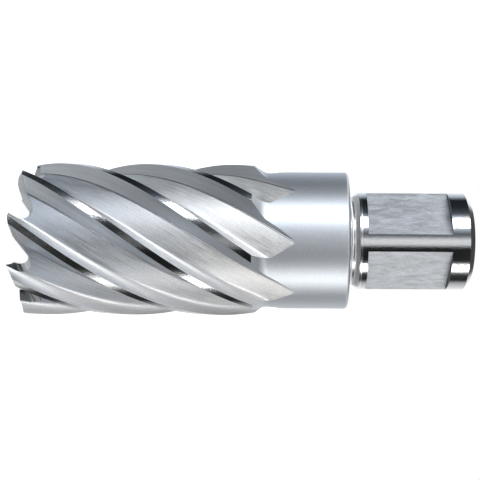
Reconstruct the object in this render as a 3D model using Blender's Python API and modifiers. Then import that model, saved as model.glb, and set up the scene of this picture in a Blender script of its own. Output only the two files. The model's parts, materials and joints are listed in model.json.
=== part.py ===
"""Annular cutter for a magnetic drill: a hollow, fluted core cutter on a flatted shank.

The tool is one piece of high speed steel. It stands on its teeth, with the shank up.
The origin is on the axis, level with the highest tooth tips. Units are metres.
"""

from math import atan2, cos, pi, radians, sin, sqrt, tan

import bmesh
import bpy
from mathutils import Matrix, Vector

# Cutting part
TOOTH_COUNT = 8
CUT_RADIUS = 0.01492
BACK_TAPER = 0.00010
WALL = 0.0043
MARGIN_LENGTH = 0.0452
LEAD = 0.1360
FIRST_EDGE = radians(-111.4)

# One flute, seen along the axis
MARGIN_WIDTH = 0.0016
BACK_SLOPE_WIDTH = 0.0021
FLUTE_DEPTH = 0.00215
FLOOR_STEP = 0.00010
ROOT_RADIUS = 0.0009

# Where the flute's floor climbs out of the collar: the root side first, the other later
FLUTE_LENGTH = 0.0477
RUN_OUT_RADIUS = 0.025
RUN_OUT_LAG = 0.0084

# Tooth ends: roofed teeth and teeth with one even slope take turns round the bore
RELIEF_ANGLE = radians(13)
ROOF_OUTER_ANGLE = radians(28)
ROOF_INNER_ANGLE = radians(18)
SLOPED_TOOTH_ANGLE = radians(8)
GULLET_DEPTH = 0.0048
GULLET_RADIUS = 0.0019
GULLET_SLOPE = radians(39)
GULLET_TILT = radians(30)
INNER_RAKE_ADVANCE = 0.0008

# Collar
SHOULDER_LENGTH = 0.0030
SHOULDER_CORNER = 0.75
SHOULDER_STRAIGHT = 0.6
COLLAR_STEP = 0.00141
COLLAR_LENGTH = 0.0152
COLLAR_EDGE_RADIUS = 0.0006
WEB_THICKNESS = 0.0118
CORE_END_CHAMFER = 0.0010

# Shank
SHANK_RADIUS = 0.009525
SHANK_LENGTH = 0.02374
NECK_STEP = 0.00085
NECK_LENGTH = 0.00205
NECK_FILLET_RADIUS = 0.00092
END_CHAMFER_WIDTH = 0.0013
END_CHAMFER_HEIGHT = 0.0011
FLAT_DEPTH = 0.001725
FLAT_TO_COLLAR = 0.00354
FLAT_TO_END = 0.0044
FLAT_DIRECTIONS = (radians(-135), radians(-45))
PILOT_HOLE_RADIUS = 0.00325
PILOT_HOLE_CHAMFER = 0.0004

# Fineness of the facets
TURNED_STEPS = 96
TWIST_STEP = radians(5.5)
RUN_OUT_TWIST_STEP = radians(3.5)
RELIEF_STEPS = 8
ROUND_STEPS = 3
FLOOR_STEPS = 4

# Cutters reach this far past the sides and the front of the bar, which has stock in front
CLEARANCE = 0.0008
FRONT_CLEARANCE = 0.0016
FRONT_STOCK = 0.0005

# Heights, radii and angles that follow from the sizes above
PITCH_ANGLE = 2 * pi / TOOTH_COUNT
TWIST = 2 * pi / LEAD
CORE_RADIUS = CUT_RADIUS - WALL
FLOOR_RADIUS = CUT_RADIUS - FLUTE_DEPTH
COLLAR_RADIUS = CUT_RADIUS - BACK_TAPER - COLLAR_STEP
SHOULDER_END = MARGIN_LENGTH + SHOULDER_LENGTH
COLLAR_END = SHOULDER_END + COLLAR_LENGTH
CORE_END = COLLAR_END - WEB_THICKNESS
OVERALL_LENGTH = COLLAR_END + SHANK_LENGTH
RUN_OUT_LENGTH = sqrt(max(0, 2 * RUN_OUT_RADIUS * (COLLAR_RADIUS - FLOOR_RADIUS)))
RUN_OUT_START = FLUTE_LENGTH - RUN_OUT_LENGTH
FLUTE_TOP = FLUTE_LENGTH + RUN_OUT_LAG + FRONT_CLEARANCE
INNER_RAKE_ANGLE = INNER_RAKE_ADVANCE / FLOOR_RADIUS
RELIEF_AHEAD = PITCH_ANGLE / 5
RELIEF_BEHIND = PITCH_ANGLE / 2


def clear_scene():
    for obj in list(bpy.data.objects):
        bpy.data.objects.remove(obj, do_unlink=True)


def new_collection(name):
    collection = bpy.data.collections.new(name)
    bpy.context.scene.collection.children.link(collection)
    return collection


def add_object(name, bm, collection):
    """Turn a finished bmesh into an object."""
    bmesh.ops.recalc_face_normals(bm, faces=bm.faces)
    mesh = bpy.data.meshes.new(name)
    bm.to_mesh(mesh)
    bm.free()
    obj = bpy.data.objects.new(name, mesh)
    collection.objects.link(obj)
    return obj


def add_cutter(name, bm, collection):
    cutter = add_object(name, bm, collection)
    cutter.display_type = "WIRE"
    cutter.hide_render = True
    return cutter


def polar(radius, angle, height=0.0):
    return Vector((radius * cos(angle), radius * sin(angle), height))


def arc_points(centre, radius, start, end, steps):
    """Points in a plane, along an arc about the centre."""
    points = []
    for step in range(steps + 1):
        angle = start + (end - start) * step / steps
        points.append((centre[0] + radius * cos(angle), centre[1] + radius * sin(angle)))
    return points


def loft(sections):
    """A closed solid through outlines that all have the same number of corners."""
    bm = bmesh.new()
    first = bm.faces.new([bm.verts.new(point) for point in sections[0]])
    last = first
    for section in sections[1:]:
        grown = bmesh.ops.extrude_face_region(bm, geom=[last])["geom"]
        end = next(item for item in grown if isinstance(item, bmesh.types.BMFace))
        for vert, point in zip(end.verts, section):
            vert.co = point
        if last is not first:
            bmesh.ops.delete(bm, geom=[last], context="FACES_ONLY")
        last = end
    return bm


def outer_profile():
    """Radius and height down the outside, from the shank's end to the teeth."""
    points = [
        (PILOT_HOLE_RADIUS + PILOT_HOLE_CHAMFER, OVERALL_LENGTH),
        (SHANK_RADIUS - END_CHAMFER_WIDTH, OVERALL_LENGTH),
        (SHANK_RADIUS, OVERALL_LENGTH - END_CHAMFER_HEIGHT),
        (SHANK_RADIUS, COLLAR_END + NECK_LENGTH),
    ]
    neck_radius = SHANK_RADIUS - NECK_STEP
    fillet_centre = (neck_radius + NECK_FILLET_RADIUS, COLLAR_END + NECK_FILLET_RADIUS)
    points += arc_points(fillet_centre, NECK_FILLET_RADIUS, pi, pi * 3 / 2, ROUND_STEPS)
    edge_centre = (COLLAR_RADIUS - COLLAR_EDGE_RADIUS, COLLAR_END - COLLAR_EDGE_RADIUS)
    points += arc_points(edge_centre, COLLAR_EDGE_RADIUS, pi / 2, 0, ROUND_STEPS)
    points += shoulder_profile()
    points.append((CUT_RADIUS, -FRONT_STOCK))
    return points


def shoulder_profile():
    """A straight cone from the teeth that runs into the collar with a hollow round."""
    top = Vector((COLLAR_RADIUS, SHOULDER_END))
    corner = Vector((COLLAR_RADIUS, MARGIN_LENGTH + SHOULDER_CORNER * SHOULDER_LENGTH))
    foot = Vector((CUT_RADIUS - BACK_TAPER, MARGIN_LENGTH))
    tangent = foot.lerp(corner, SHOULDER_STRAIGHT)
    points = []
    for step in range(ROUND_STEPS + 1):
        share = step / ROUND_STEPS
        points.append(top.lerp(corner, share).lerp(corner.lerp(tangent, share), share))
    points.append(foot)
    return [tuple(point) for point in points]


def inner_profile():
    """Radius and height up the inside, from the teeth to the shank's end."""
    return [
        (CORE_RADIUS, -FRONT_STOCK),
        (CORE_RADIUS, CORE_END - CORE_END_CHAMFER),
        (CORE_RADIUS - CORE_END_CHAMFER, CORE_END),
        (PILOT_HOLE_RADIUS, CORE_END),
        (PILOT_HOLE_RADIUS, OVERALL_LENGTH - PILOT_HOLE_CHAMFER),
    ]


def turned_blank(collection):
    """The bar as it leaves the lathe: one closed profile, turned about the axis."""
    profile = outer_profile() + inner_profile()
    mesh = bpy.data.meshes.new("annular_cutter")
    corners = [(radius, 0, height) for radius, height in profile]
    edges = [(i, (i + 1) % len(corners)) for i in range(len(corners))]
    mesh.from_pydata(corners, edges, [])
    blank = bpy.data.objects.new("annular_cutter", mesh)
    collection.objects.link(blank)
    screw = blank.modifiers.new("turning", "SCREW")
    screw.axis = "Z"
    screw.angle = 2 * pi
    screw.steps = TURNED_STEPS
    screw.render_steps = TURNED_STEPS
    screw.use_merge_vertices = True
    screw.merge_threshold = 0.00001
    return blank


def flute_outline():
    """Corners of one flute's section, as radius and angle behind the leading edge."""
    margin_angle = MARGIN_WIDTH / CUT_RADIUS
    slope_foot = margin_angle + BACK_SLOPE_WIDTH / CUT_RADIUS
    root_angle = ROOT_RADIUS / FLOOR_RADIUS
    outside = CUT_RADIUS + CLEARANCE
    slope_rate = (slope_foot - margin_angle) / (FLUTE_DEPTH - FLOOR_STEP)
    corners = [
        (outside, margin_angle - CLEARANCE * slope_rate),
        (FLOOR_RADIUS + FLOOR_STEP, slope_foot),
    ]
    floor_start = slope_foot + FLOOR_STEP / FLOOR_RADIUS
    floor_end = PITCH_ANGLE - root_angle
    for step in range(FLOOR_STEPS + 1):
        share = step / FLOOR_STEPS
        corners.append((FLOOR_RADIUS, floor_start + (floor_end - floor_start) * share))
    for step in range(1, ROUND_STEPS + 1):
        turn = pi / 2 * step / ROUND_STEPS
        height = ROOT_RADIUS * (1 - cos(turn))
        corners.append((FLOOR_RADIUS + height, floor_end + root_angle * sin(turn)))
    corners.append((outside, PITCH_ANGLE))
    corners.append((outside, PITCH_ANGLE * 2 / 3))
    corners.append((outside, PITCH_ANGLE / 3))
    return corners


def run_out_lift(height, angle):
    """How far the flute's floor has risen, where the grinding wheel leaves the work.

    The wheel's round is taken as the parabola that touches it at the flute's floor.
    """
    lag = RUN_OUT_LAG * (1 - angle / PITCH_ANGLE)
    past = max(height - RUN_OUT_START - lag, 0)
    return past ** 2 / (2 * RUN_OUT_RADIUS)


def flute_heights():
    """Heights of the flute's sections: even turns, then closer ones at the run-out."""
    bottom = -FRONT_CLEARANCE
    turns = max(1, round((RUN_OUT_START - bottom) * TWIST / TWIST_STEP))
    closer = max(1, round((FLUTE_TOP - RUN_OUT_START) * TWIST / RUN_OUT_TWIST_STEP))
    heights = [bottom + (RUN_OUT_START - bottom) * i / turns for i in range(turns)]
    heights += [RUN_OUT_START + (FLUTE_TOP - RUN_OUT_START) * i / closer for i in range(closer + 1)]
    return heights


def flute_cutter(collection, tooth):
    """The space that the grinding wheel clears between two teeth."""
    first_angle = FIRST_EDGE + PITCH_ANGLE * tooth
    outline = flute_outline()
    sections = []
    for height in flute_heights():
        turned = first_angle + TWIST * height
        section = []
        for radius, angle in outline:
            lifted = radius + run_out_lift(height, angle)
            section.append(polar(lifted, turned + angle, height))
        sections.append(section)
    return add_cutter(f"flute_cutter_{tooth + 1}", loft(sections), collection)


def gullet_outline(radius):
    """Distance round the axis and height of the gullet's corners, at one radius.

    The front wall follows the helix, the bottom is a full round and the back slopes.
    The bottom climbs outwards, so that chips slide out of it.
    """
    front = FLOOR_RADIUS * PITCH_ANGLE - INNER_RAKE_ADVANCE
    helix = TWIST * FLOOR_RADIUS
    along = Vector((helix, 1)).normalized()
    centre_height = GULLET_DEPTH - GULLET_RADIUS
    centre_around = front - (GULLET_RADIUS - centre_height * along.x) / along.y
    wall_end = atan2(-along.x, along.y)
    slope_start = pi / 2 + GULLET_SLOPE
    steps = ROUND_STEPS * 2
    centre = (centre_around, centre_height)
    bottom = arc_points(centre, GULLET_RADIUS, wall_end, slope_start, steps)
    climb = (radius - FLOOR_RADIUS) * tan(GULLET_TILT)
    below = -FRONT_CLEARANCE
    points = [(front + helix * below, below)]
    for step, (around, height) in enumerate(bottom):
        along_wall = helix * climb * (1 - step / steps)
        points.append((around + along_wall, height + climb))
    around, height = points[-1]
    points.append((around - (height - below) / tan(GULLET_SLOPE), below))
    return points


def gullet_cutter(collection, tooth):
    """The notch through the wall in front of a tooth, from the core to the outside."""
    first_angle = FIRST_EDGE + PITCH_ANGLE * tooth
    sections = []
    for radius in (CORE_RADIUS - CLEARANCE, FLOOR_RADIUS, CUT_RADIUS + CLEARANCE):
        outline = gullet_outline(radius)
        section = [polar(radius, first_angle + s / FLOOR_RADIUS, z) for s, z in outline]
        sections.append(section)
    return add_cutter(f"gullet_cutter_{tooth + 1}", loft(sections), collection)


def tooth_end_height(tooth, radius):
    """Height of a tooth's cutting edge: a roof with its ridge over the flute's floor,
    or on every other tooth one slope that is lowest at the core.
    """
    if tooth % 2 == 0:
        return (radius - CORE_RADIUS) * tan(SLOPED_TOOTH_ANGLE)
    if radius < FLOOR_RADIUS:
        return (FLOOR_RADIUS - radius) * tan(ROOF_INNER_ANGLE)
    return (radius - FLOOR_RADIUS) * tan(ROOF_OUTER_ANGLE)


def relief_cutter(collection, tooth):
    """What is ground off a tooth's end, which falls away behind the cutting edge."""
    first_angle = FIRST_EDGE + PITCH_ANGLE * tooth
    across = (CORE_RADIUS - CLEARANCE, FLOOR_RADIUS, CUT_RADIUS + CLEARANCE)
    sections = []
    for step in range(RELIEF_STEPS + 1):
        angle = -RELIEF_AHEAD + (RELIEF_AHEAD + RELIEF_BEHIND) * step / RELIEF_STEPS
        rise = (angle + INNER_RAKE_ANGLE) * FLOOR_RADIUS * tan(RELIEF_ANGLE)
        turned = first_angle + angle
        section = [polar(r, turned, tooth_end_height(tooth, r) + rise) for r in across]
        section.append(polar(across[-1], turned, -FRONT_CLEARANCE))
        section.append(polar(across[0], turned, -FRONT_CLEARANCE))
        sections.append(section)
    return add_cutter(f"relief_cutter_{tooth + 1}", loft(sections), collection)


def flat_cutter(collection, index, direction):
    """A block that mills one clamping flat, with a square wall at each end."""
    length = SHANK_LENGTH - FLAT_TO_COLLAR - FLAT_TO_END
    width = SHANK_RADIUS * 2
    depth = FLAT_DEPTH + CLEARANCE
    bm = bmesh.new()
    bmesh.ops.create_cube(bm, size=1)
    bmesh.ops.scale(bm, vec=(depth, width, length), verts=bm.verts)
    middle = Vector((
        SHANK_RADIUS - FLAT_DEPTH + depth / 2,
        0,
        COLLAR_END + FLAT_TO_COLLAR + length / 2,
    ))
    bmesh.ops.translate(bm, vec=middle, verts=bm.verts)
    turn = Matrix.Rotation(direction, 3, "Z")
    bmesh.ops.rotate(bm, cent=(0, 0, 0), matrix=turn, verts=bm.verts)
    return add_cutter(f"flat_cutter_{index + 1}", bm, collection)


def cut(obj, cutter):
    boolean = obj.modifiers.new(cutter.name, "BOOLEAN")
    boolean.operation = "DIFFERENCE"
    boolean.solver = "EXACT"
    boolean.object = cutter


def bright_steel():
    material = bpy.data.materials.new("bright_ground_steel")
    material.use_nodes = True
    shader = material.node_tree.nodes["Principled BSDF"]
    shader.inputs["Base Color"].default_value = (0.62, 0.63, 0.64, 1)
    shader.inputs["Metallic"].default_value = 1.0
    shader.inputs["Roughness"].default_value = 0.28
    return material


def build():
    clear_scene()
    part = new_collection("annular_cutter")
    cutters = new_collection("cutters")
    body = turned_blank(part)
    for tooth in range(TOOTH_COUNT):
        cut(body, flute_cutter(cutters, tooth))
    for tooth in range(TOOTH_COUNT):
        cut(body, gullet_cutter(cutters, tooth))
    for tooth in range(TOOTH_COUNT):
        cut(body, relief_cutter(cutters, tooth))
    for index, direction in enumerate(FLAT_DIRECTIONS):
        cut(body, flat_cutter(cutters, index, direction))
    body.data.materials.append(bright_steel())


build()
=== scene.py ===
# %% [markdown]
# An annular cutter is a hollow steel tool that cuts a ring instead of a whole hole. This
# lesson dresses the measured part in its real finishes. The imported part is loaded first,
# and nothing in it is moved: every new surface is made around the same axis.

# %% Load the measured part
import json
from math import atan2, cos, degrees, hypot, pi, radians, sin, sqrt, tan

import bmesh
import bpy
from mathutils import Matrix, Vector

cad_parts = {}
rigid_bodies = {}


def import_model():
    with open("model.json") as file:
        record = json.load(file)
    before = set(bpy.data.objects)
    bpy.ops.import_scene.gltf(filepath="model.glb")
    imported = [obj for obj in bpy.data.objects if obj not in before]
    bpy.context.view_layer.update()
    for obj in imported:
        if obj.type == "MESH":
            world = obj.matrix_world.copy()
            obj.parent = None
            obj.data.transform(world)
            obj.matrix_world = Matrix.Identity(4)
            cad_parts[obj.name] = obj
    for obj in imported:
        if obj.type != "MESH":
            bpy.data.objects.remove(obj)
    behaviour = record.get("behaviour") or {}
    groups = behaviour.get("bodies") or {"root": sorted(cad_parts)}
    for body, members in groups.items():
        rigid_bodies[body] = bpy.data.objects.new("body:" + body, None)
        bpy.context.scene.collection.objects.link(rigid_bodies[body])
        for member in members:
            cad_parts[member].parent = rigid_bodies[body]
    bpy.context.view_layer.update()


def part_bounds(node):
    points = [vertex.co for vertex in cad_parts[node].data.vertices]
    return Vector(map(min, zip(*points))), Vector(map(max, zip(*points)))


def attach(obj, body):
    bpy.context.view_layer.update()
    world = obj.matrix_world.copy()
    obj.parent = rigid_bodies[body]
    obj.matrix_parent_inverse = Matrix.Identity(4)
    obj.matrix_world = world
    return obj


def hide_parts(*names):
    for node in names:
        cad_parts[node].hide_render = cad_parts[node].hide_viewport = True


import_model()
part_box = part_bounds("annular_cutter")
OVERALL_LENGTH = part_box[1][2]
print(f"overall length {OVERALL_LENGTH * 1000:.2f} mm")

# %% [markdown]
# The camera comes first, because every finish is judged through it. The tool stands on its
# teeth but the photograph shows it lying down, so the camera is rolled a quarter turn. It
# is close to the tool, which makes the rims curve, and the distance was worked out from
# those curves. The shift slides the picture sideways without turning the camera.

# %% The camera
FRAME_PIXELS = 480
PIXELS_PER_METRE = 5050
CAMERA_AZIMUTH = radians(-92.23)
CAMERA_ROLL = radians(0.40)
DISTANCE_PIXELS = 835.4
FOOT_PIXEL = (291.3, 240.29)
TIP_PIXEL = 26.3

toward_camera = Vector((cos(CAMERA_AZIMUTH), sin(CAMERA_AZIMUTH), 0))
picture_up = Vector((sin(CAMERA_AZIMUTH), -cos(CAMERA_AZIMUTH), 0))
along_tool = Vector((0, 0, 1))


def make_camera():
    data = bpy.data.cameras.new("camera")
    data.sensor_width = 36
    data.lens = data.sensor_width * DISTANCE_PIXELS / FRAME_PIXELS
    data.shift_x = -(FOOT_PIXEL[0] - FRAME_PIXELS / 2) / FRAME_PIXELS
    data.shift_y = (FOOT_PIXEL[1] - FRAME_PIXELS / 2) / FRAME_PIXELS
    data.clip_start = 0.005
    camera = bpy.data.objects.new("camera", data)
    bpy.context.scene.collection.objects.link(camera)
    right = along_tool * cos(CAMERA_ROLL) + picture_up * sin(CAMERA_ROLL)
    up = picture_up * cos(CAMERA_ROLL) - along_tool * sin(CAMERA_ROLL)
    placed = Matrix((right, up, toward_camera)).transposed().to_4x4()
    foot = (FOOT_PIXEL[0] - TIP_PIXEL) / PIXELS_PER_METRE
    placed.translation = along_tool * foot + toward_camera * (DISTANCE_PIXELS / PIXELS_PER_METRE)
    camera.matrix_world = placed
    bpy.context.scene.camera = camera
    return camera


camera = make_camera()
bpy.context.scene.view_settings.view_transform = "Standard"
print(f"camera {DISTANCE_PIXELS / PIXELS_PER_METRE * 1000:.0f} mm from the axis")

# %% [markdown]
# Polished steel has no colour of its own to show: it shows the room. A product photographer
# puts the tool in a white tent with long soft lamps and black cards beside it. Here that
# tent is the world. Its light depends first on the direction round the tool's axis, so each
# lamp is a long strip that lies along the tool. The lamps fade toward the teeth, and a
# screen at each end hides the strips. The camera itself sees plain white.

# %% The studio tent
# Stops round the tool: degrees above the camera's side, brightness there, and its tint.
PLAIN = (1.0, 1.0, 1.0)
COOL = (0.92, 1.0, 1.10)
WARM = (1.02, 1.0, 0.975)
FRESH = (0.975, 1.0, 1.025)
SKY = (0.85, 1.0, 1.18)
CARD = 0.02
SCREENS = (
    (-180, 1.2, PLAIN), (-150, 1.0, PLAIN), (-138, 0.9, PLAIN), (-118, 0.6, PLAIN),
    (-106, CARD, PLAIN), (-84, 0.06, PLAIN), (-76, 0.7, WARM), (-57, 0.9, WARM),
    (-52, 0.12, PLAIN), (-46, CARD, PLAIN), (33, CARD, PLAIN), (34, 1.2, FRESH),
    (52, 1.2, FRESH), (57, 1.1, FRESH), (63, 0.25, SKY), (71, 0.08, SKY), (88, 0.03, SKY),
    (116, CARD, SKY), (124, 0.3, COOL), (132, 0.65, COOL), (150, 1.0, COOL), (180, 1.2, PLAIN),
)
LAMPS = (
    (-75, 0, WARM), (-73, 4.9, WARM), (-59, 4.9, WARM), (-57, 0, WARM),
    (33, 0, FRESH), (35, 6.0, FRESH), (53, 6.0, FRESH), (55, 0, FRESH),
)
FRONT = (
    (-14, 0, PLAIN), (-8, 0.95, PLAIN), (4, 1.0, PLAIN), (10, 0.2, COOL), (20, 0.14, COOL),
    (25, 0.5, COOL), (32, 0.7, COOL), (34, 0, COOL),
)
# Stops along the tool, from the teeth's side (-1) to the shank's side (1): how much is left
# of the lamps and of the front strip, how much of the strips is hidden by the end screens,
# and the light of the end screens themselves behind the tool and in front of it.
LAMP_ENDS = (
    (-0.28, 0.02, PLAIN), (-0.262, 0.09, PLAIN), (-0.25, 0.22, PLAIN), (-0.22, 0.27, PLAIN),
    (-0.15, 0.54, PLAIN), (-0.05, 1, PLAIN), (1, 1, PLAIN),
)
FRONT_ENDS = (
    (-0.27, 0.03, PLAIN), (-0.18, 0.18, PLAIN), (-0.08, 0.42, PLAIN), (0.06, 1, PLAIN),
)
END_COVER = (
    (-0.44, 1, PLAIN), (-0.315, 0, PLAIN), (0.30, 0, PLAIN), (0.42, 1, PLAIN),
)
END_BEHIND = (
    (-1.0, 1.1, PLAIN), (-0.85, 0.95, PLAIN), (-0.7, 0.5, PLAIN), (-0.4, 0.40, PLAIN),
    (0.3, 1.2, PLAIN), (0.54, 1.2, PLAIN), (0.66, 0.10, PLAIN), (1.0, 0.07, PLAIN),
)
END_IN_FRONT = (
    (-1.0, 0.80, PLAIN), (-0.92, 0.55, PLAIN), (-0.8, 0.38, PLAIN), (-0.4, 0.40, PLAIN),
    (0.3, 1.25, PLAIN), (0.64, 1.2, PLAIN), (0.76, 0.12, PLAIN), (1.0, 0.08, PLAIN),
)
BEHIND_TO_FRONT = ((-0.3, 0, PLAIN), (0.05, 1, PLAIN))
END_BELOW_TO_ABOVE = ((-0.7, 0.75, PLAIN), (0, 1.0, PLAIN), (0.7, 1.2, PLAIN))


def math_node(nodes, links, operation, *values):
    node = nodes.new("ShaderNodeMath")
    node.operation = operation
    for socket, value in zip(node.inputs, values):
        if isinstance(value, bpy.types.NodeSocket):
            links.new(value, socket)
        else:
            socket.default_value = value
    return node.outputs[0]


def brightness_along(nodes, links, value, stops, low, high):
    """Light over stops in their own units. A ramp holds up to 1, so it is scaled after."""
    place = nodes.new("ShaderNodeMapRange")
    place.inputs["From Min"].default_value = low
    place.inputs["From Max"].default_value = high
    links.new(value, place.inputs["Value"])
    ramp = nodes.new("ShaderNodeValToRGB")
    elements = ramp.color_ramp.elements
    while len(elements) < len(stops):
        elements.new(0.5)
    brightest = max(light * max(tint) for where, light, tint in stops)
    for element, (where, light, tint) in zip(elements, stops):
        element.position = (where - low) / (high - low)
    for element, (where, light, tint) in zip(elements, stops):
        element.color = (*(light / brightest * share for share in tint), 1)
    links.new(place.outputs["Result"], ramp.inputs["Fac"])
    scaled = nodes.new("ShaderNodeVectorMath")
    scaled.operation = "SCALE"
    scaled.inputs["Scale"].default_value = brightest
    links.new(ramp.outputs["Color"], scaled.inputs[0])
    return scaled.outputs[0]


def combine(nodes, links, operation, first, second):
    node = nodes.new("ShaderNodeVectorMath")
    node.operation = operation
    links.new(first, node.inputs[0])
    links.new(second, node.inputs[1])
    return node.outputs[0]


def between(nodes, links, share, first, second):
    """From the first to the second light, by a share from 0 to 1."""
    node = nodes.new("ShaderNodeMix")
    node.data_type = "VECTOR"
    node.factor_mode = "NON_UNIFORM"
    sockets = [socket for socket in node.inputs if socket.enabled]
    for socket, value in zip(sockets, (share, first, second)):
        links.new(value, socket)
    return next(socket for socket in node.outputs if socket.enabled)


def make_tent():
    """A world whose light comes in strips that run along the tool, with a screen at each end."""
    world = bpy.data.worlds.new("studio_tent")
    world.use_nodes = True
    bpy.context.scene.world = world
    nodes, links = world.node_tree.nodes, world.node_tree.links
    direction = nodes.new("ShaderNodeTexCoord").outputs["Generated"]
    shares = []
    for axis in (picture_up, toward_camera, along_tool):
        dot = nodes.new("ShaderNodeVectorMath")
        dot.operation = "DOT_PRODUCT"
        dot.inputs[1].default_value = axis
        links.new(direction, dot.inputs[0])
        shares.append(dot.outputs["Value"])
    up, near, along = shares
    turn = math_node(nodes, links, "ARCTAN2", up, near)
    turn = math_node(nodes, links, "MULTIPLY", turn, degrees(1))
    screens = brightness_along(nodes, links, turn, SCREENS, -180, 180)
    lamps = brightness_along(nodes, links, turn, LAMPS, -180, 180)
    lamp_ends = brightness_along(nodes, links, along, LAMP_ENDS, -1, 1)
    front = brightness_along(nodes, links, turn, FRONT, -180, 180)
    front_ends = brightness_along(nodes, links, along, FRONT_ENDS, -1, 1)
    faded_lamps = combine(nodes, links, "MULTIPLY", lamps, lamp_ends)
    strips = combine(nodes, links, "ADD", screens, faded_lamps)
    faded_front = combine(nodes, links, "MULTIPLY", front, front_ends)
    strips = combine(nodes, links, "ADD", strips, faded_front)
    cover = brightness_along(nodes, links, along, END_COVER, -1, 1)
    facing = brightness_along(nodes, links, near, BEHIND_TO_FRONT, -1, 1)
    end_behind = brightness_along(nodes, links, along, END_BEHIND, -1, 1)
    end_in_front = brightness_along(nodes, links, along, END_IN_FRONT, -1, 1)
    end_light = between(nodes, links, facing, end_behind, end_in_front)
    above = brightness_along(nodes, links, up, END_BELOW_TO_ABOVE, -1, 1)
    end_light = combine(nodes, links, "MULTIPLY", end_light, above)
    tent = between(nodes, links, cover, strips, end_light)
    background = nodes["Background"]
    links.new(tent, background.inputs["Color"])
    backdrop = nodes.new("ShaderNodeBackground")
    backdrop.inputs["Color"].default_value = (1, 1, 1, 1)
    ray = nodes.new("ShaderNodeLightPath")
    mix = nodes.new("ShaderNodeMixShader")
    links.new(ray.outputs["Is Camera Ray"], mix.inputs["Fac"])
    links.new(background.outputs[0], mix.inputs[1])
    links.new(backdrop.outputs[0], mix.inputs[2])
    links.new(mix.outputs[0], nodes["World Output"].inputs["Surface"])


make_tent()
print(f"tent of {len(SCREENS) + len(LAMPS) + len(FRONT)} stops round the tool")

# %% [markdown]
# The floor is a plain white table. It glows a little, as a lit table top does, so that it
# is as white as the tent behind it. Glossy rays skip it: a polished bar so close to a table
# would otherwise show nothing else.

# %% The floor
FLOOR_RADIUS_SHOWN = 3.0
FLOOR_GLOW = 0.9


def make_floor():
    bm = bmesh.new()
    bmesh.ops.create_circle(bm, cap_ends=True, segments=96, radius=FLOOR_RADIUS_SHOWN)
    mesh = bpy.data.meshes.new("floor")
    bm.to_mesh(mesh)
    bm.free()
    floor = bpy.data.objects.new("floor", mesh)
    bpy.context.scene.collection.objects.link(floor)
    material = bpy.data.materials.new("white_table")
    material.use_nodes = True
    shader = material.node_tree.nodes["Principled BSDF"]
    shader.inputs["Base Color"].default_value = (0.85, 0.85, 0.85, 1)
    shader.inputs["Roughness"].default_value = 0.9
    shader.inputs["Emission Color"].default_value = (1, 1, 1, 1)
    shader.inputs["Emission Strength"].default_value = FLOOR_GLOW
    mesh.materials.append(material)
    floor.visible_glossy = False
    return floor


floor = make_floor()
print("floor placed")

# %% [markdown]
# The sizes are the part's own, in metres, apart from two small forms that only the picture
# needs: the hollow root of each flute and the fine grooves beside its step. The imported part
# has coarse facets, which would show in a mirror finish, so the form is turned and ground
# again with fine ones.

# %% Sizes of the tool
TOOTH_COUNT = 8
CUT_RADIUS = 0.01492
BACK_TAPER = 0.00010
WALL = 0.0043
MARGIN_LENGTH = 0.0452
LEAD = 0.1360
FIRST_EDGE = radians(-111.4)

MARGIN_WIDTH = 0.0016
BACK_SLOPE_WIDTH = 0.0021
FLUTE_DEPTH = 0.00215
FLOOR_STEP = 0.00010
ROOT_WIDTH = 0.0013

FLUTE_LENGTH = 0.0477
RUN_OUT_RADIUS = 0.025
RUN_OUT_LAG = 0.0084

RELIEF_ANGLE = radians(13)
ROOF_OUTER_ANGLE = radians(28)
ROOF_INNER_ANGLE = radians(18)
SLOPED_TOOTH_ANGLE = radians(8)
GULLET_DEPTH = 0.0048
GULLET_RADIUS = 0.0019
GULLET_SLOPE = radians(39)
GULLET_TILT = radians(30)
INNER_RAKE_ADVANCE = 0.0008

SHOULDER_LENGTH = 0.0030
SHOULDER_CORNER = 0.75
SHOULDER_STRAIGHT = 0.6
COLLAR_STEP = 0.00141
COLLAR_EDGE_RADIUS = 0.0006
WEB_THICKNESS = 0.0118
CORE_END_CHAMFER = 0.0010

SHANK_RADIUS = 0.009525
SHANK_LENGTH = 0.02374
NECK_STEP = 0.00085
NECK_LENGTH = 0.00205
NECK_FILLET_RADIUS = 0.00092
SATIN_BESIDE_NECK = 0.0005
END_CHAMFER_WIDTH = 0.0013
END_CHAMFER_HEIGHT = 0.0011
FLAT_DEPTH = 0.001725
FLAT_TO_COLLAR = 0.00354
FLAT_TO_END = 0.0044
FLAT_DIRECTIONS = (radians(-135), radians(-45))
PILOT_HOLE_RADIUS = 0.00325
PILOT_HOLE_CHAMFER = 0.0004

CLEARANCE = 0.0008
FRONT_CLEARANCE = 0.0016
FRONT_STOCK = 0.0005

PITCH_ANGLE = 2 * pi / TOOTH_COUNT
TWIST = 2 * pi / LEAD
CORE_RADIUS = CUT_RADIUS - WALL
FLOOR_RADIUS = CUT_RADIUS - FLUTE_DEPTH
COLLAR_RADIUS = CUT_RADIUS - BACK_TAPER - COLLAR_STEP
COLLAR_END = OVERALL_LENGTH - SHANK_LENGTH
CORE_END = COLLAR_END - WEB_THICKNESS
SHOULDER_END = MARGIN_LENGTH + SHOULDER_LENGTH
RUN_OUT_START = FLUTE_LENGTH - sqrt(2 * RUN_OUT_RADIUS * (COLLAR_RADIUS - FLOOR_RADIUS))
FLUTE_TOP = FLUTE_LENGTH + RUN_OUT_LAG + FRONT_CLEARANCE
INNER_RAKE_ANGLE = INNER_RAKE_ADVANCE / FLOOR_RADIUS
RELIEF_AHEAD = PITCH_ANGLE / 5
RELIEF_BEHIND = PITCH_ANGLE / 2
MARGIN_ANGLE = MARGIN_WIDTH / CUT_RADIUS
SLOPE_FOOT = MARGIN_ANGLE + BACK_SLOPE_WIDTH / CUT_RADIUS
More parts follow.
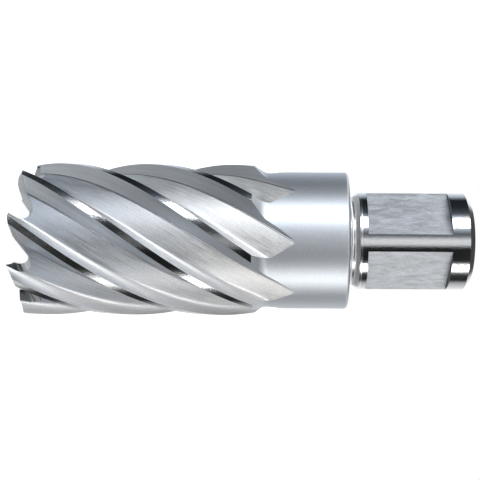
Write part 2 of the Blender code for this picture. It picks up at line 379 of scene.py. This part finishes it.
ROOT_ANGLE = ROOT_WIDTH / FLOOR_RADIUS
FLOOR_END = PITCH_ANGLE - ROOT_ANGLE
print(f"cutting diameter {CUT_RADIUS * 2000:.2f} mm, collar {COLLAR_RADIUS * 2000:.2f} mm")

# %% [markdown]
# Ground and turned steel is never one even grey. Fine marks from the wheel or the lathe
# tool bend the light a little, and they follow the way the work was moved. So each finish
# is built from noise that is stretched along its marks: it changes the roughness, the tone
# and, as a very small bump, the reflections. Marks on the flutes follow the helix, which
# is done by untwisting the position before the noise reads it.

# %% Finishes: shared helpers
FINISHES = (
    "end_face", "end_chamfer", "shank_polish", "neck_satin", "seat_turned", "collar_satin",
    "shoulder_satin", "margin_polish", "bore_turned", "flat_milled", "back_slope_satin",
    "groove_painted_shade", "flute_ground", "root_ground_with_painted_light", "gullet_ground", "inner_rake",
    "relief_ground", "flat_wall_painted_shade",
)
FINISH_INDEX = {name: index for index, name in enumerate(FINISHES)}


def new_finish(name, tone, roughness):
    """A metal with one tone and one roughness, and the nodes to add marks to it."""
    material = bpy.data.materials.new(name)
    material.use_nodes = True
    nodes = material.node_tree.nodes
    shader = nodes["Principled BSDF"]
    shader.inputs["Base Color"].default_value = (*tone, 1)
    shader.inputs["Metallic"].default_value = 1.0
    shader.inputs["Roughness"].default_value = roughness
    return material, nodes, material.node_tree.links, shader


def part_position(nodes, links, stretch, helical=False, turn=(0, 0, 0)):
    """Object position, untwisted for helical marks, turned, and stretched along the marks."""
    place = nodes.new("ShaderNodeTexCoord").outputs["Object"]
    if helical:
        height = nodes.new("ShaderNodeSeparateXYZ")
        links.new(place, height.inputs[0])
        untwist = nodes.new("ShaderNodeMath")
        untwist.operation = "MULTIPLY"
        untwist.inputs[1].default_value = -TWIST
        links.new(height.outputs["Z"], untwist.inputs[0])
        rotate = nodes.new("ShaderNodeVectorRotate")
        rotate.rotation_type = "Z_AXIS"
        links.new(place, rotate.inputs["Vector"])
        links.new(untwist.outputs[0], rotate.inputs["Angle"])
        place = rotate.outputs[0]
    mapping = nodes.new("ShaderNodeMapping")
    mapping.inputs["Rotation"].default_value = turn
    mapping.inputs["Scale"].default_value = stretch
    links.new(place, mapping.inputs["Vector"])
    return mapping.outputs[0]


def noise(nodes, links, place, scale=1.0, detail=2.0, roughness=0.5, warp=0.0):
    texture = nodes.new("ShaderNodeTexNoise")
    texture.inputs["Scale"].default_value = scale
    texture.inputs["Detail"].default_value = detail
    texture.inputs["Roughness"].default_value = roughness
    texture.inputs["Distortion"].default_value = warp
    links.new(place, texture.inputs["Vector"])
    return texture.outputs["Fac"]


def vary(nodes, links, value, low, high, start=0.3, end=0.7):
    """Spread a noise value between two ends."""
    spread = nodes.new("ShaderNodeMapRange")
    spread.inputs["From Min"].default_value = start
    spread.inputs["From Max"].default_value = end
    spread.inputs["To Min"].default_value = low
    spread.inputs["To Max"].default_value = high
    links.new(value, spread.inputs["Value"])
    return spread.outputs["Result"]


def tone_between(nodes, links, value, dark, light):
    mix = nodes.new("ShaderNodeMix")
    mix.data_type = "RGBA"
    mix.inputs["A"].default_value = (*dark, 1)
    mix.inputs["B"].default_value = (*light, 1)
    links.new(value, mix.inputs["Factor"])
    return mix.outputs["Result"]


def bump(nodes, links, shader, height, distance, before=None):
    """Press the marks into the surface, on top of any earlier ones."""
    marks = nodes.new("ShaderNodeBump")
    marks.inputs["Strength"].default_value = 1.0
    marks.inputs["Distance"].default_value = distance
    links.new(height, marks.inputs["Height"])
    if before is not None:
        links.new(before, marks.inputs["Normal"])
    links.new(marks.outputs[0], shader.inputs["Normal"])
    return marks.outputs[0]


# Heights in metres between which a flute's tone changes from its teeth's to its shank's.
TEETH_TONE_END = 0.002
SHANK_TONE_START = 0.042


def toward_shank(nodes, links, at_teeth, at_collar):
    """Change from one tone to another along the flutes."""
    height = nodes.new("ShaderNodeSeparateXYZ")
    links.new(nodes.new("ShaderNodeTexCoord").outputs["Object"], height.inputs[0])
    mix = nodes.new("ShaderNodeMix")
    mix.data_type = "RGBA"
    share = vary(nodes, links, height.outputs["Z"], 0, 1, TEETH_TONE_END, SHANK_TONE_START)
    links.new(share, mix.inputs["Factor"])
    colours = [socket for socket in mix.inputs if socket.type == "RGBA"]
    links.new(at_teeth, colours[0])
    links.new(at_collar, colours[1])
    return next(socket for socket in mix.outputs if socket.type == "RGBA")


def shades(tone, spread):
    """A darker and a lighter version of a tone."""
    return tuple(c * (1 - spread) for c in tone), tuple(min(1, c * (1 + spread)) for c in tone)


print(f"{len(FINISHES)} finishes to make")

# %% [markdown]
# One recipe serves every finish: a tone, a roughness, grain and marks. What differs from
# one finish to the next is the direction, the width and the depth of its marks.

# %% Finishes: the recipe
def steel(name, tone, roughness, spread, marks, depth, grain, helical=False, turn=(0, 0, 0),
          shank_tone=None, warp=0.0):
    """Steel with marks stretched one way and a fine grain.

    spread: how far tone and roughness vary, marks: noise cells for each metre in X, Y and Z,
    depth: height of the marks, grain: height of the fine even grain, shank_tone: the tone
    that a flute's surface has at its shank end, warp: how far the marks wander.
    """
    material, nodes, links, shader = new_finish(name, tone, roughness)
    place = part_position(nodes, links, marks, helical, turn)
    streaks = noise(nodes, links, place, detail=4.0, roughness=0.6, warp=warp)
    speck = part_position(nodes, links, (1, 1, 1))
    fine = noise(nodes, links, speck, scale=GRAIN_SCALE, detail=1.0)
    both = math_node(nodes, links, "MULTIPLY_ADD", fine, GRAIN_SHARE, streaks)
    middle = 0.5 + GRAIN_SHARE / 2
    lightness = vary(nodes, links, both, 0, 1, middle - NOISE_REACH, middle + NOISE_REACH)
    colour = tone_between(nodes, links, lightness, *shades(tone, spread))
    if shank_tone is not None:
        brighter = tone_between(nodes, links, lightness, *shades(shank_tone, spread))
        colour = toward_shank(nodes, links, colour, brighter)
    links.new(colour, shader.inputs["Base Color"])
    rougher = vary(nodes, links, streaks, roughness * (1 - spread), roughness * (1 + spread))
    links.new(rougher, shader.inputs["Roughness"])
    pressed = bump(nodes, links, shader, streaks, depth)
    bump(nodes, links, shader, fine, grain, before=pressed)
    return material


GRAIN_SHARE = 0.5
NOISE_REACH = 0.18
GRAIN_SCALE = 5200
STEEL = (0.64, 0.68, 0.73)
GREY_STEEL = (0.62, 0.64, 0.655)
SLOPE_STEEL = (0.43, 0.46, 0.50)
MARGIN_STEEL = (0.56, 0.575, 0.59)
GULLET_STEEL = (0.42, 0.44, 0.46)
TEETH_STEEL = (0.44, 0.485, 0.545)
FLAT_STEEL = (0.71, 0.745, 0.79)
# Root tone: the root's own finish, raised above the floor's as painted light on its hollow and
# wall.
ROOT_TONE_WITH_PAINTED_LIGHT = (0.80, 0.81, 0.825)
NECK_STEEL = (0.75, 0.75, 0.765)
# Tone of the fine grooves beside the step: painted shade, dark where the grooves are.
GROOVE_SHADE_TONE = (0.20, 0.215, 0.23)
# Near-black tone of the flats' end walls: painted shade.
FLAT_WALL_SHADE_TONE = (0.13, 0.14, 0.155)
SHANK_STEEL = (0.90, 0.915, 0.93)
MICRON = 1e-6


def make_finishes():
    along = (1500, 1500, 60)
    streaked = (3400, 3400, 260)
    around = (90, 90, 5000)
    scratched = (1100, 1100, 280)
    even = (2500, 2500, 2500)
    um = MICRON
    made = (
        steel("end_face", GREY_STEEL, 0.35, 0.15, around, 2 * um, 1 * um),
        steel("end_chamfer", GREY_STEEL, 0.2, 0.1, around, 2 * um, 2 * um),
        steel("shank_polish", GREY_STEEL, 0.09, 0.06, even, 0.5 * um, 13 * um),
        steel("neck_satin", NECK_STEEL, 0.22, 0.28, around, 4 * um, 7 * um),
        steel("seat_turned", GREY_STEEL, 0.45, 0.12, around, 3 * um, 3 * um),
        steel("collar_satin", STEEL, 0.48, 0.05, even, 1.5 * um, 3 * um),
        steel("shoulder_satin", STEEL, 0.45, 0.08, around, 3 * um, 3 * um),
        steel("margin_polish", MARGIN_STEEL, 0.09, 0.08, along, 0.8 * um, 18 * um, True),
        steel("bore_turned", GREY_STEEL, 0.45, 0.15, around, 4 * um, 3 * um),
        steel("flat_milled", FLAT_STEEL, 0.52, 0.17, scratched, 8 * um, 5 * um,
              turn=(0.6, 0.6, 0), warp=0.8),
        # The end walls of the flats get a near-black tone, which is painted shade.
        steel("flat_wall_painted_shade", FLAT_WALL_SHADE_TONE, 0.5, 0.1, even, 2 * um, 4 * um),
        steel("back_slope_satin", STEEL, 0.42, 0.1, along, 4 * um, 4 * um, True,
              shank_tone=SLOPE_STEEL),
        # The fine grooves get a near-black tone, which is painted shade.
        steel("groove_painted_shade", GROOVE_SHADE_TONE, 0.55, 0.15, streaked, 6 * um, 4 * um, True),
        steel("flute_ground", TEETH_STEEL, 0.6, 0.2, streaked, 12 * um, 4 * um, True,
              shank_tone=SHANK_STEEL),
        # The root's light tone is partly its own finish and partly painted light.
        steel("root_ground_with_painted_light", ROOT_TONE_WITH_PAINTED_LIGHT, 0.52, 0.1, streaked, 3 * um, 2 * um, True),
        steel("gullet_ground", GULLET_STEEL, 0.3, 0.1, even, 3 * um, 2 * um),
        steel("inner_rake", GREY_STEEL, 0.2, 0.1, even, 2 * um, 2 * um),
        steel("relief_ground", GREY_STEEL, 0.4, 0.1, even, 3 * um, 3 * um),
    )
    by_name = {material.name: material for material in made}
    return [by_name[name] for name in FINISHES]


finishes = make_finishes()
print("finishes:", ", ".join(material.name for material in finishes))

# %% [markdown]
# The bar is turned before anything is ground into it. Each stretch of its outline is spun
# on its own, so that its faces carry the number of their finish, and the stretches are
# then merged where they meet.

# %% Turn the bar
TURNED_STEPS = 360
ROUND_STEPS = 10


def arc_points(centre, radius, start, end, steps):
    """Points in a plane, along an arc about the centre."""
    points = []
    for step in range(steps + 1):
        angle = start + (end - start) * step / steps
        points.append((centre[0] + radius * cos(angle), centre[1] + radius * sin(angle)))
    return points


def shoulder_points():
    """A straight cone from the teeth that runs into the collar with a hollow round."""
    top = Vector((COLLAR_RADIUS, SHOULDER_END))
    corner = Vector((COLLAR_RADIUS, MARGIN_LENGTH + SHOULDER_CORNER * SHOULDER_LENGTH))
    foot = Vector((CUT_RADIUS - BACK_TAPER, MARGIN_LENGTH))
    tangent = foot.lerp(corner, SHOULDER_STRAIGHT)
    points = []
    for step in range(ROUND_STEPS + 1):
        share = step / ROUND_STEPS
        points.append(tuple(top.lerp(corner, share).lerp(corner.lerp(tangent, share), share)))
    points.append(tuple(foot))
    return points


def turned_stretches():
    """Finish and outline, as radius and height, from the shank's end round to its hole."""
    end_corner = (SHANK_RADIUS - END_CHAMFER_WIDTH, OVERALL_LENGTH)
    side_corner = (SHANK_RADIUS, OVERALL_LENGTH - END_CHAMFER_HEIGHT)
    neck_radius = SHANK_RADIUS - NECK_STEP
    fillet_centre = (neck_radius + NECK_FILLET_RADIUS, COLLAR_END + NECK_FILLET_RADIUS)
    fillet = arc_points(fillet_centre, NECK_FILLET_RADIUS, pi, pi * 3 / 2, ROUND_STEPS)
    edge_centre = (COLLAR_RADIUS - COLLAR_EDGE_RADIUS, COLLAR_END - COLLAR_EDGE_RADIUS)
    edge = arc_points(edge_centre, COLLAR_EDGE_RADIUS, pi / 2, 0, ROUND_STEPS)
    shoulder = shoulder_points()
    margin_foot = (CUT_RADIUS, -FRONT_STOCK)
    core_top = (CORE_RADIUS, CORE_END - CORE_END_CHAMFER)
    hole_edge = (PILOT_HOLE_RADIUS + PILOT_HOLE_CHAMFER, OVERALL_LENGTH)
    neck_top = (SHANK_RADIUS, COLLAR_END + NECK_LENGTH)
    polish_end = (SHANK_RADIUS, COLLAR_END + NECK_LENGTH + SATIN_BESIDE_NECK)
    return (
        ("end_face", [hole_edge, end_corner]),
        ("end_chamfer", [end_corner, side_corner]),
        ("shank_polish", [side_corner, polish_end]),
        ("neck_satin", [polish_end, neck_top] + fillet),
        ("seat_turned", [fillet[-1], edge[0]]),
        ("collar_satin", edge + [shoulder[0]]),
        ("shoulder_satin", shoulder),
        ("margin_polish", [shoulder[-1], margin_foot]),
        ("bore_turned", [
            margin_foot, (CORE_RADIUS, -FRONT_STOCK), core_top,
            (CORE_RADIUS - CORE_END_CHAMFER, CORE_END), (PILOT_HOLE_RADIUS, CORE_END),
            (PILOT_HOLE_RADIUS, OVERALL_LENGTH - PILOT_HOLE_CHAMFER), hole_edge,
        ]),
    )


def to_object(name, bm):
    """Turn a finished bmesh into an object that carries every finish."""
    mesh = bpy.data.meshes.new(name)
    bm.to_mesh(mesh)
    bm.free()
    obj = bpy.data.objects.new(name, mesh)
    bpy.context.scene.collection.objects.link(obj)
    for material in finishes:
        mesh.materials.append(material)
    return obj


def turn_bar():
    bm = bmesh.new()
    for finish, outline in turned_stretches():
        before = set(bm.faces)
        corners = [bm.verts.new((radius, 0, height)) for radius, height in outline]
        lines = [bm.edges.new(pair) for pair in zip(corners, corners[1:])]
        bmesh.ops.spin(
            bm, geom=corners + lines, cent=(0, 0, 0), axis=(0, 0, 1),
            angle=2 * pi, steps=TURNED_STEPS, use_merge=True,
        )
        for face in bm.faces:
            if face not in before:
                face.material_index = FINISH_INDEX[finish]
    bmesh.ops.remove_doubles(bm, verts=bm.verts, dist=1e-6)
    bmesh.ops.recalc_face_normals(bm, faces=bm.faces)
    return to_object("turned_bar", bm)


bar = turn_bar()
print(f"turned bar: {len(bar.data.polygons)} faces")

# %% [markdown]
# A flute is the space that a grinding wheel clears. Its section is a face that is extruded
# along the tool in small steps, and each step is turned a little further, which makes the
# helix. Near the shank the section is lifted outwards, as the wheel leaves the work. All
# eight are in one mesh, because they don't meet and one cut is faster than eight.

# %% Shape the flutes
TWIST_STEP = radians(1.8)
FLOOR_STEPS = 10
# Two fine grooves beside the foot of the back slope: distance across and rise.
STEP_GROOVES = ((0.00010, 0.00002), (0.00024, 0.00008))
GROOVES_WIDTH = 0.00036
FIRST_GROOVE_END = SLOPE_FOOT + STEP_GROOVES[0][0] / FLOOR_RADIUS
SECOND_GROOVE_START = SLOPE_FOOT + STEP_GROOVES[1][0] / FLOOR_RADIUS
STEP_END = SLOPE_FOOT + GROOVES_WIDTH / FLOOR_RADIUS


def polar(radius, angle, height=0.0):
    return Vector((radius * cos(angle), radius * sin(angle), height))


def loft(bm, sections, finish):
    """Extrude a face through outlines that all have the same number of corners."""
    before = set(bm.faces)
    first = bm.faces.new([bm.verts.new(point) for point in sections[0]])
    last = first
    for section in sections[1:]:
        grown = bmesh.ops.extrude_face_region(bm, geom=[last])["geom"]
        end = next(item for item in grown if isinstance(item, bmesh.types.BMFace))
        for vert, point in zip(end.verts, section):
            vert.co = point
        if last is not first:
            bmesh.ops.delete(bm, geom=[last], context="FACES_ONLY")
        last = end
    for face in bm.faces:
        if face not in before:
            face.material_index = FINISH_INDEX[finish]


def flute_outline():
    """Corners of one flute's section, as radius and angle behind the leading edge."""
    outside = CUT_RADIUS + CLEARANCE
    slope_rate = (SLOPE_FOOT - MARGIN_ANGLE) / (FLUTE_DEPTH - FLOOR_STEP)
    corners = [
        (outside, MARGIN_ANGLE - CLEARANCE * slope_rate),
        (FLOOR_RADIUS + FLOOR_STEP, SLOPE_FOOT),
    ]
    for across, rise in STEP_GROOVES:
        corners.append((FLOOR_RADIUS + rise, SLOPE_FOOT + across / FLOOR_RADIUS))
    for step in range(FLOOR_STEPS + 1):
        share = step / FLOOR_STEPS
        corners.append((FLOOR_RADIUS, STEP_END + (FLOOR_END - STEP_END) * share))
    for step in range(1, ROUND_STEPS + 1):
        turn = pi / 2 * step / ROUND_STEPS
        height = FLUTE_DEPTH * (1 - cos(turn))
        corners.append((FLOOR_RADIUS + height, FLOOR_END + ROOT_ANGLE * sin(turn)))
    corners.append((outside, PITCH_ANGLE))
    corners.append((outside, PITCH_ANGLE * 2 / 3))
    corners.append((outside, PITCH_ANGLE / 3))
    return corners


def run_out_lift(height, angle):
    """How far the flute's floor has risen, where the grinding wheel leaves the work."""
    lag = RUN_OUT_LAG * (1 - angle / PITCH_ANGLE)
    past = max(height - RUN_OUT_START - lag, 0)
    return past ** 2 / (2 * RUN_OUT_RADIUS)


def shape_flutes():
    bm = bmesh.new()
    travel = FLUTE_TOP + FRONT_CLEARANCE
    steps = round(travel * TWIST / TWIST_STEP)
    heights = [-FRONT_CLEARANCE + travel * step / steps for step in range(steps + 1)]
    for tooth in range(TOOTH_COUNT):
        sections = []
        for height in heights:
            turned = FIRST_EDGE + PITCH_ANGLE * tooth + TWIST * height
            sections.append([
                polar(radius + run_out_lift(height, angle), turned + angle, height)
                for radius, angle in flute_outline()
            ])
        loft(bm, sections, "flute_ground")
    bmesh.ops.recalc_face_normals(bm, faces=bm.faces)
    return to_object("flute_cutters", bm)


flutes = shape_flutes()
print(f"flutes: {len(flutes.data.polygons)} faces")

# %% [markdown]
# In front of each tooth a notch is ground through the wall, for the chips. Its front side
# is the tooth's inner cutting face, its bottom is a full round and its back slopes away.

# %% Shape the gullets
def gullet_outline(radius):
    """Distance round the axis and height of the gullet's corners, at one radius."""
    front = FLOOR_RADIUS * PITCH_ANGLE - INNER_RAKE_ADVANCE
    helix = TWIST * FLOOR_RADIUS
    along = Vector((helix, 1)).normalized()
    centre_height = GULLET_DEPTH - GULLET_RADIUS
    centre_around = front - (GULLET_RADIUS - centre_height * along.x) / along.y
    wall_end = atan2(-along.x, along.y)
    slope_start = pi / 2 + GULLET_SLOPE
    steps = ROUND_STEPS * 2
    bottom = arc_points((centre_around, centre_height), GULLET_RADIUS, wall_end, slope_start, steps)
    climb = (radius - FLOOR_RADIUS) * tan(GULLET_TILT)
    below = -FRONT_CLEARANCE
    points = [(front + helix * below, below)]
    for step, (around, height) in enumerate(bottom):
        along_wall = helix * climb * (1 - step / steps)
        points.append((around + along_wall, height + climb))
    around, height = points[-1]
    points.append((around - (height - below) / tan(GULLET_SLOPE), below))
    return points


def shape_gullets():
    bm = bmesh.new()
    for tooth in range(TOOTH_COUNT):
        first_angle = FIRST_EDGE + PITCH_ANGLE * tooth
        sections = []
        for radius in (CORE_RADIUS - CLEARANCE, FLOOR_RADIUS, CUT_RADIUS + CLEARANCE):
            outline = gullet_outline(radius)
            sections.append([polar(radius, first_angle + s / FLOOR_RADIUS, z) for s, z in outline])
        loft(bm, sections, "gullet_ground")
    bmesh.ops.recalc_face_normals(bm, faces=bm.faces)
    return to_object("gullet_cutters", bm)


gullets = shape_gullets()
print(f"gullets: {len(gullets.data.polygons)} faces")

# %% [markdown]
# The ends of the teeth are ground so that only their front edges touch the work. Every
# other tooth has a roof, and the teeth between have one slope, so the chip is split.

# %% Shape the tooth ends
RELIEF_STEPS = 16


def tooth_end_height(tooth, radius):
    """Height of a tooth's cutting edge above the highest tips."""
    if tooth % 2 == 0:
        return (radius - CORE_RADIUS) * tan(SLOPED_TOOTH_ANGLE)
    if radius < FLOOR_RADIUS:
        return (FLOOR_RADIUS - radius) * tan(ROOF_INNER_ANGLE)
    return (radius - FLOOR_RADIUS) * tan(ROOF_OUTER_ANGLE)


def shape_reliefs():
    bm = bmesh.new()
    across = (CORE_RADIUS - CLEARANCE, FLOOR_RADIUS, CUT_RADIUS + CLEARANCE)
    for tooth in range(TOOTH_COUNT):
        first_angle = FIRST_EDGE + PITCH_ANGLE * tooth
        sections = []
        for step in range(RELIEF_STEPS + 1):
            angle = -RELIEF_AHEAD + (RELIEF_AHEAD + RELIEF_BEHIND) * step / RELIEF_STEPS
            rise = (angle + INNER_RAKE_ANGLE) * FLOOR_RADIUS * tan(RELIEF_ANGLE)
            turned = first_angle + angle
            section = [polar(r, turned, tooth_end_height(tooth, r) + rise) for r in across]
            section.append(polar(across[-1], turned, -FRONT_CLEARANCE))
            section.append(polar(across[0], turned, -FRONT_CLEARANCE))
            sections.append(section)
        loft(bm, sections, "relief_ground")
    bmesh.ops.recalc_face_normals(bm, faces=bm.faces)
    return to_object("relief_cutters", bm)


reliefs = shape_reliefs()
print(f"tooth ends: {len(reliefs.data.polygons)} faces")

# %% [markdown]
# Two flats are milled into the shank, a quarter turn apart, for the clamping screws.

# %% Shape the clamping flats
def shape_flats():
    bm = bmesh.new()
    length = SHANK_LENGTH - FLAT_TO_COLLAR - FLAT_TO_END
    depth = FLAT_DEPTH + CLEARANCE
    middle = Vector((
        SHANK_RADIUS - FLAT_DEPTH + depth / 2, 0, COLLAR_END + FLAT_TO_COLLAR + length / 2,
    ))
    for direction in FLAT_DIRECTIONS:
        block = bmesh.ops.create_cube(bm, size=1)["verts"]
        bmesh.ops.scale(bm, vec=(depth, SHANK_RADIUS * 2, length), verts=block)
        bmesh.ops.translate(bm, vec=middle, verts=block)
        turn = Matrix.Rotation(direction, 3, "Z")
        bmesh.ops.rotate(bm, cent=(0, 0, 0), matrix=turn, verts=block)
    bm.normal_update()
    for face in bm.faces:
        # The end walls of the flats take the near-black tone of painted shade.
        finish = "flat_wall_painted_shade" if abs(face.normal.z) > 0.5 else "flat_milled"
        face.material_index = FINISH_INDEX[finish]
    bmesh.ops.recalc_face_normals(bm, faces=bm.faces)
    return to_object("flat_cutters", bm)


flats = shape_flats()
print(f"flats: {len(flats.data.polygons)} faces")

# %% [markdown]
# The cuts are made with Boolean modifiers, in the order in which the shop makes them. The
# result is then read back as one plain mesh, and the cutters are thrown away.

# %% Cut the bar
def cut_bar(bar, cutters):
    for cutter in cutters:
        boolean = bar.modifiers.new(cutter.name, "BOOLEAN")
        boolean.operation = "DIFFERENCE"
        boolean.solver = "EXACT"
        boolean.object = cutter
    depsgraph = bpy.context.evaluated_depsgraph_get()
    mesh = bpy.data.meshes.new_from_object(bar.evaluated_get(depsgraph))
    mesh.name = "cutter_body"
    piece = bpy.data.objects.new("cutter_body", mesh)
    bpy.context.scene.collection.objects.link(piece)
    for obj in (bar, *cutters):
        bpy.data.objects.remove(obj, do_unlink=True)
    return piece


cutter_body = cut_bar(bar, (flutes, gullets, reliefs, flats))
print(f"cutter body: {len(cutter_body.data.polygons)} faces")

# %% [markdown]
# The flute was ground in one pass, but its surfaces don't look alike: the back slope is
# satin, the floor is streaked and the root is bright: its own ground finish, with its tone
# raised further as painted light. They are told apart by the angle at which they lie
# behind their tooth's edge.

# %% Share out the finishes of the flutes
# A gullet's face is the tooth's inner cutting face where it stands up and looks forward.
UPRIGHT_LIMIT = 0.62
FORWARD_LIMIT = 0.7


def angle_behind_edge(point):
    """Angle behind the leading edge of the tooth in front, with the helix taken out."""
    return (atan2(point.y, point.x) - FIRST_EDGE - TWIST * point.z) % PITCH_ANGLE


def share_out_finishes(mesh):
    for face in mesh.polygons:
        if face.material_index == FINISH_INDEX["flute_ground"]:
            behind = angle_behind_edge(face.center)
            if behind < SLOPE_FOOT:
                face.material_index = FINISH_INDEX["back_slope_satin"]
            # The fine grooves take the dark tone of painted shade.
            elif behind < FIRST_GROOVE_END or SECOND_GROOVE_START < behind < STEP_END:
                face.material_index = FINISH_INDEX["groove_painted_shade"]
            # The root and its wall take a tone raised as painted light.
            elif behind > FLOOR_END:
                face.material_index = FINISH_INDEX["root_ground_with_painted_light"]
        elif face.material_index == FINISH_INDEX["gullet_ground"]:
            outward = Vector((face.center.x, face.center.y, 0)).normalized()
            forward = Vector((outward.y, -outward.x, 0))
            upright = abs(face.normal.z) < UPRIGHT_LIMIT
            if upright and face.normal.dot(forward) > FORWARD_LIMIT:
                face.material_index = FINISH_INDEX["inner_rake"]


share_out_finishes(cutter_body.data)
used = [face.material_index for face in cutter_body.data.polygons]
print({name: used.count(index) for name, index in FINISH_INDEX.items()})

# %% [markdown]
# A cut leaves long thin faces on the round surfaces, and averaged normals would ripple
# there like a cheap mirror. Sharp corners are marked first. Then each corner of a round
# surface gets the exact normal of its cylinder or cone.

# %% Smooth the round surfaces
SHARP_ANGLE = radians(22)
ROUND_TOLERANCE = 2e-6
MOST_TILT = 0.01
LEAST_OUTWARD = 0.999


def round_normal(point, face_normal):
    """Normal of the cylinder that a point lies on, or none."""
    radius = hypot(point.x, point.y)
    outward = Vector((point.x / radius, point.y / radius, 0))
    if abs(face_normal.z) > MOST_TILT or abs(face_normal.dot(outward)) < LEAST_OUTWARD:
        return Vector((0, 0, 0))
    for known in (SHANK_RADIUS, COLLAR_RADIUS, CORE_RADIUS, PILOT_HOLE_RADIUS):
        if abs(radius - known) < ROUND_TOLERANCE:
            return outward if face_normal.dot(outward) > 0 else -outward
    if CUT_RADIUS - BACK_TAPER - ROUND_TOLERANCE < radius < CUT_RADIUS + ROUND_TOLERANCE:
        return outward
    return Vector((0, 0, 0))


def smooth_rounds(mesh):
    mesh.shade_smooth()
    mesh.set_sharp_from_angle(angle=SHARP_ANGLE)
    normals = [Vector((0, 0, 0))] * len(mesh.loops)
    for face in mesh.polygons:
        for loop in face.loop_indices:
            point = mesh.vertices[mesh.loops[loop].vertex_index].co
            normals[loop] = round_normal(point, face.normal)
    mesh.normals_split_custom_set(normals)


smooth_rounds(cutter_body.data)
print("smoothed")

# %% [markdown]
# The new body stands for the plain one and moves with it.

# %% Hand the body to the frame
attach(cutter_body, "root")
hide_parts("annular_cutter")

triangles = sum(len(face.vertices) - 2 for face in cutter_body.data.polygons)
print(f"{triangles} triangles")
